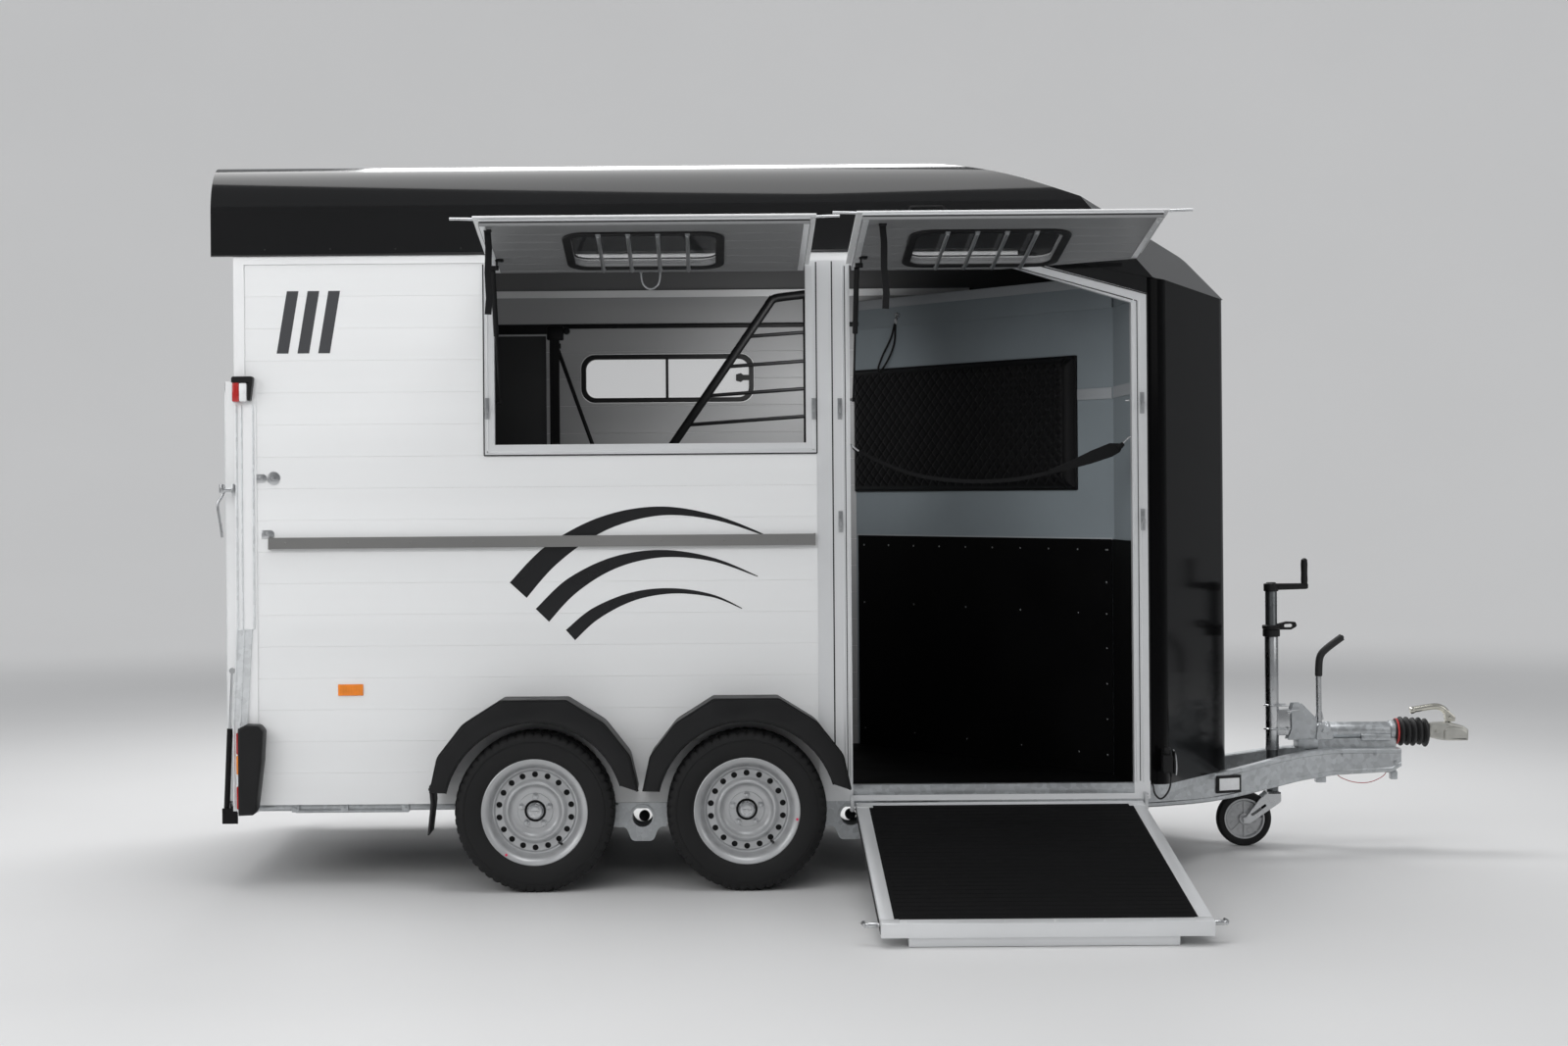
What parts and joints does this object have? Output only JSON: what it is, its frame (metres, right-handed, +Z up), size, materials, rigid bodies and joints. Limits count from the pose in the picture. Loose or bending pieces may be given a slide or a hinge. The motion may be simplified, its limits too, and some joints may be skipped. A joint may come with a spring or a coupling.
{
  "type": "horse trailer",
  "caption": "Closed horse trailer with a moulded roof and nose, outside wheels under mudguards, hinged side flaps, fold-down ramps at the side and rear, and a braked coupling.",
  "frame": {"origin": "centre of the coupling's ball socket, 0.44 m above the ground", "axes": "+X forward along the drawbar, +Y to the trailer's left, +Z up; metres"},
  "size_m": [4.966, 3.2853, 2.7156],
  "materials": {
    "roof_black": "gloss black moulded roof and nose",
    "panel_white": "white coated planks",
    "frame_white": "white coated frames and rails",
    "galvanised": "galvanised steel",
    "zinc": "zinc plated steel",
    "black_steel": "black coated steel",
    "black_plastic": "black moulded plastic",
    "tyre": "tyre rubber",
    "rim_silver": "silver painted wheel rim",
    "board_black": "black coated floor board",
    "board_grey": "grey coated board",
    "pad_black": "black padded vinyl",
    "glass": "tinted pane",
    "rod_chrome": "chromed rod",
    "rubber": "black rubber",
    "lamp_red": "red lamp lens",
    "blind": "black coated tarpaulin",
    "coupling_grey": "grey coated casting"
  },
  "bodies": {
    "trailer_body": {"floor": "board_black", "side_wall_right": "panel_white", "side_wall_left": "panel_white", "sliding_window": "black_plastic", "top_rails": "frame_white", "brow_strips": "roof_black", "window_frame": "frame_white", "door_frame": "frame_white", "nose_shell": "roof_black", "nose_sill": "black_plastic", "roof_shell": "roof_black", "rear_frame": "galvanised", "rear_blind": "blind", "swing_arms": "galvanised", "axle_brackets": "galvanised", "mudguards": "black_plastic", "chassis_frame": "galvanised", "drawbar_arms": "galvanised", "overrun_unit": "black_steel", "bellows": "rubber", "coupling_head": "coupling_grey", "coupling_handle": "black_plastic", "handbrake_lever": "zinc", "jockey_clamp": "zinc", "jockey_leg": "zinc", "partition": "black_steel", "head_grille": "black_steel", "tack_wall": "board_grey", "kick_board": "board_black", "quilted_pad": "pad_black", "tail_lamps": "lamp_red", "rub_rails": "frame_white", "hinge_rods": "zinc", "strut_mounts": "black_steel"},
    "rear_ramp": {"rear_ramp": "panel_white"},
    "rear_lift_cylinders": {"rear_strut_cylinders": "black_steel"},
    "rear_lift_rods": {"rear_strut_rods": "rod_chrome"},
    "side_ramp": {"side_ramp": "frame_white"},
    "window_flap": {"window_flap": "panel_white", "window_flap_pane": "glass"},
    "window_stay_cylinder": {"window_strut_cylinder": "black_steel"},
    "window_stay_rod": {"window_strut_rod": "rod_chrome"},
    "door_flap": {"door_flap": "panel_white", "door_flap_pane": "glass"},
    "door_stay_cylinder": {"door_strut_cylinder": "black_steel"},
    "door_stay_rod": {"door_strut_rod": "rod_chrome"},
    "tack_door": {"tack_door": "panel_white"},
    "jockey_fork": {"jockey_fork": "zinc"},
    "jockey_wheel": {"jockey_wheel": "rubber"},
    "wheel_front_right": {"tyre_front_right": "tyre", "rim_front_right": "rim_silver"},
    "wheel_front_left": {"tyre_front_left": "tyre", "rim_front_left": "rim_silver"},
    "wheel_rear_right": {"tyre_rear_right": "tyre", "rim_rear_right": "rim_silver"},
    "wheel_rear_left": {"tyre_rear_left": "tyre", "rim_rear_left": "rim_silver"}
  },
  "joints": [
    {"name": "window_flap_hinge", "type": "hinge", "parent": "trailer_body", "child": "window_flap", "pos_m": [-3.324, -0.879, 1.882], "axis": [1, 0, 0], "range_deg": [0, 99.5]},
    {"name": "window_stay_turn", "type": "hinge", "parent": "window_flap", "child": "window_stay_cylinder", "pos_m": [-3.831, -1.08649, 1.85386], "axis": [-1, 0, 0], "range_deg": [0, 129.32]},
    {"name": "window_stay_slide", "type": "slide", "parent": "window_stay_cylinder", "child": "window_stay_rod", "axis": [0, -0.4881, 0.8728], "range_m": [0, 0.2431]},
    {"name": "door_flap_hinge", "type": "hinge", "parent": "trailer_body", "child": "door_flap", "pos_m": [-2.224, -0.879, 1.882], "axis": [1, 0, 0], "range_deg": [0, 99.5]},
    {"name": "door_stay_turn", "type": "hinge", "parent": "door_flap", "child": "door_stay_cylinder", "pos_m": [-2.497, -1.08649, 1.85386], "axis": [-1, 0, 0], "range_deg": [0, 129.32]},
    {"name": "door_stay_slide", "type": "slide", "parent": "door_stay_cylinder", "child": "door_stay_rod", "axis": [0, -0.4881, 0.8728], "range_m": [0, 0.2431]},
    {"name": "side_ramp_hinge", "type": "hinge", "parent": "trailer_body", "child": "side_ramp", "pos_m": [-1.968, -0.8945, -0.161], "axis": [-1, 0, 0], "range_deg": [0, 99.7]},
    {"name": "rear_ramp_hinge", "type": "hinge", "parent": "trailer_body", "child": "rear_ramp", "pos_m": [-4.85, 0, -0.14], "axis": [0, -1, 0], "range_deg": [0, 100]},
    {"name": "rear_lift_turn", "type": "hinge", "parent": "trailer_body", "child": "rear_lift_cylinders", "pos_m": [-4.87, 0, -0.19], "axis": [0, -1, 0], "range_deg": [0, 97.12]},
    {"name": "rear_lift_slide", "type": "slide", "parent": "rear_lift_cylinders", "child": "rear_lift_rods", "axis": [-0.0464, 0, -0.9989], "range_m": [0, 0.07721]},
    {"name": "tack_door_hinge", "type": "hinge", "parent": "trailer_body", "child": "tack_door", "pos_m": [-1.569, 0.88, 0.86], "axis": [0, 0, -1], "range_deg": [0, 120]},
    {"name": "wheel_front_right_spin", "type": "hinge", "parent": "trailer_body", "child": "wheel_front_right", "pos_m": [-2.914, -0.975, -0.145], "axis": [0, 1, 0], "continuous": true},
    {"name": "wheel_front_left_spin", "type": "hinge", "parent": "trailer_body", "child": "wheel_front_left", "pos_m": [-2.914, 0.975, -0.145], "axis": [0, 1, 0], "continuous": true},
    {"name": "wheel_rear_right_spin", "type": "hinge", "parent": "trailer_body", "child": "wheel_rear_right", "pos_m": [-3.696, -0.975, -0.145], "axis": [0, 1, 0], "continuous": true},
    {"name": "wheel_rear_left_spin", "type": "hinge", "parent": "trailer_body", "child": "wheel_rear_left", "pos_m": [-3.696, 0.975, -0.145], "axis": [0, 1, 0], "continuous": true},
    {"name": "jockey_swivel", "type": "hinge", "parent": "trailer_body", "child": "jockey_fork", "pos_m": [-0.74, 0, -0.218], "axis": [0, 0, 1], "continuous": true},
    {"name": "jockey_wheel_spin", "type": "hinge", "parent": "jockey_fork", "child": "jockey_wheel", "pos_m": [-0.86, 0, -0.328], "axis": [0, 1, 0], "continuous": true}
  ],
  "couplings": [
    {"joint": "window_stay_turn", "follows": "window_flap_hinge", "ratio": 1.2936},
    {"joint": "window_stay_slide", "follows": "window_flap_hinge", "m_per_rad": 0.13941},
    {"joint": "door_stay_turn", "follows": "door_flap_hinge", "ratio": 1.2936},
    {"joint": "door_stay_slide", "follows": "door_flap_hinge", "m_per_rad": 0.13941},
    {"joint": "rear_lift_turn", "follows": "rear_ramp_hinge", "ratio": 0.96523},
    {"joint": "rear_lift_slide", "follows": "rear_ramp_hinge", "m_per_rad": 0.04366}
  ]
}
